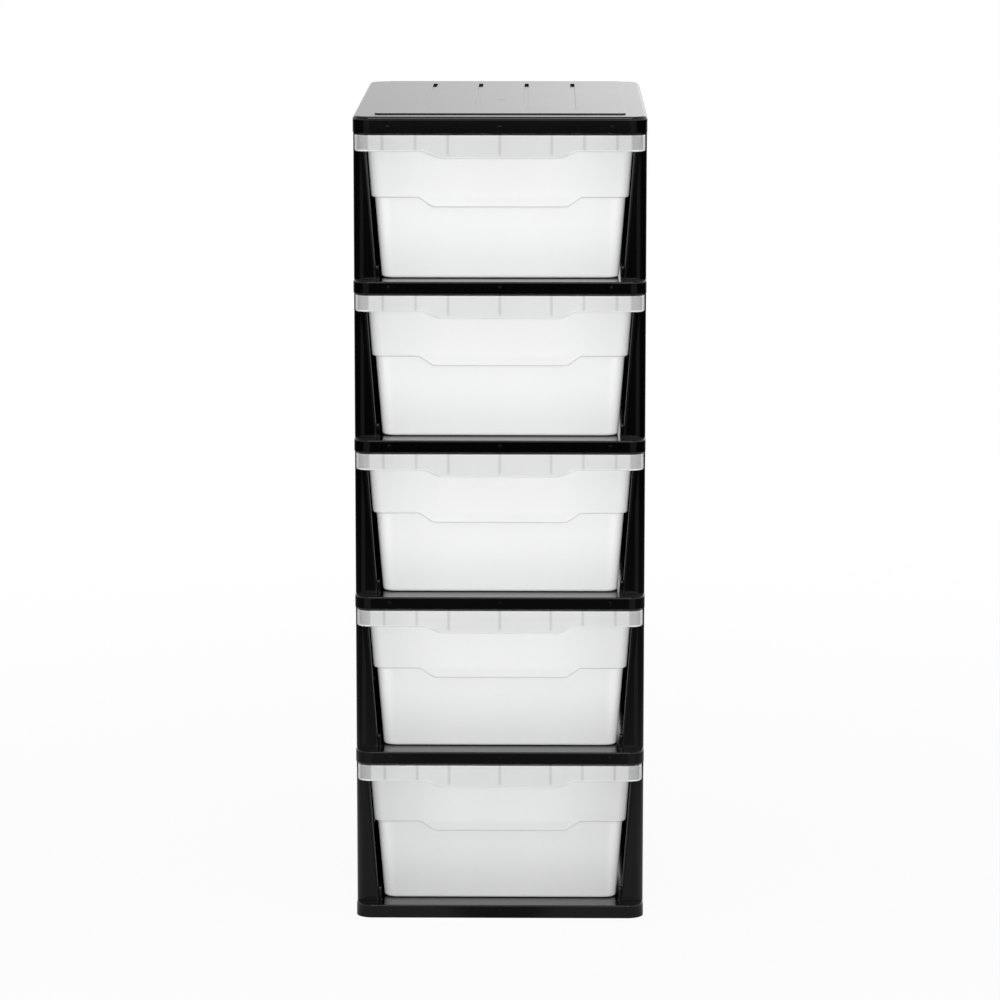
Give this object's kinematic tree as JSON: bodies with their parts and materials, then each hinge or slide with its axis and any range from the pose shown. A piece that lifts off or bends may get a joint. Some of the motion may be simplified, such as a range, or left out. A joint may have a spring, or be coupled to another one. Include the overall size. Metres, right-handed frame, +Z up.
{
  "type": "drawer tower",
  "caption": "Tall plastic drawer tower: frosted drawers with apron handles slide out of a glossy black frame of skirted shelves and side panels under a grooved lid.",
  "frame": {"origin": "middle of the tower's footprint, on the floor under the base", "axes": "+Z up, the drawers slide out towards -Y, +X to the right of someone facing the drawers"},
  "size_m": [0.29, 0.45, 0.8116],
  "materials": {
    "black_frame": "glossy black moulded polypropylene",
    "frosted_drawer": "frosted translucent natural polypropylene"
  },
  "bodies": {
    "frame": {"base": "black_frame", "shelf_1": "black_frame", "shelf_2": "black_frame", "shelf_3": "black_frame", "shelf_4": "black_frame", "lid": "black_frame", "side_left_1": "black_frame", "side_left_2": "black_frame", "side_left_3": "black_frame", "side_left_4": "black_frame", "side_left_5": "black_frame", "side_right_1": "black_frame", "side_right_2": "black_frame", "side_right_3": "black_frame", "side_right_4": "black_frame", "side_right_5": "black_frame"},
    "drawer_1": {"drawer_1": "frosted_drawer"},
    "drawer_2": {"drawer_2": "frosted_drawer"},
    "drawer_3": {"drawer_3": "frosted_drawer"},
    "drawer_4": {"drawer_4": "frosted_drawer"},
    "drawer_5": {"drawer_5": "frosted_drawer"}
  },
  "joints": [
    {"name": "drawer_1_slide", "type": "slide", "parent": "frame", "child": "drawer_1", "axis": [0, -1, 0], "range_m": [0, 0.34]},
    {"name": "drawer_2_slide", "type": "slide", "parent": "frame", "child": "drawer_2", "axis": [0, -1, 0], "range_m": [0, 0.34]},
    {"name": "drawer_3_slide", "type": "slide", "parent": "frame", "child": "drawer_3", "axis": [0, -1, 0], "range_m": [0, 0.34]},
    {"name": "drawer_4_slide", "type": "slide", "parent": "frame", "child": "drawer_4", "axis": [0, -1, 0], "range_m": [0, 0.34]},
    {"name": "drawer_5_slide", "type": "slide", "parent": "frame", "child": "drawer_5", "axis": [0, -1, 0], "range_m": [0, 0.34]}
  ]
}
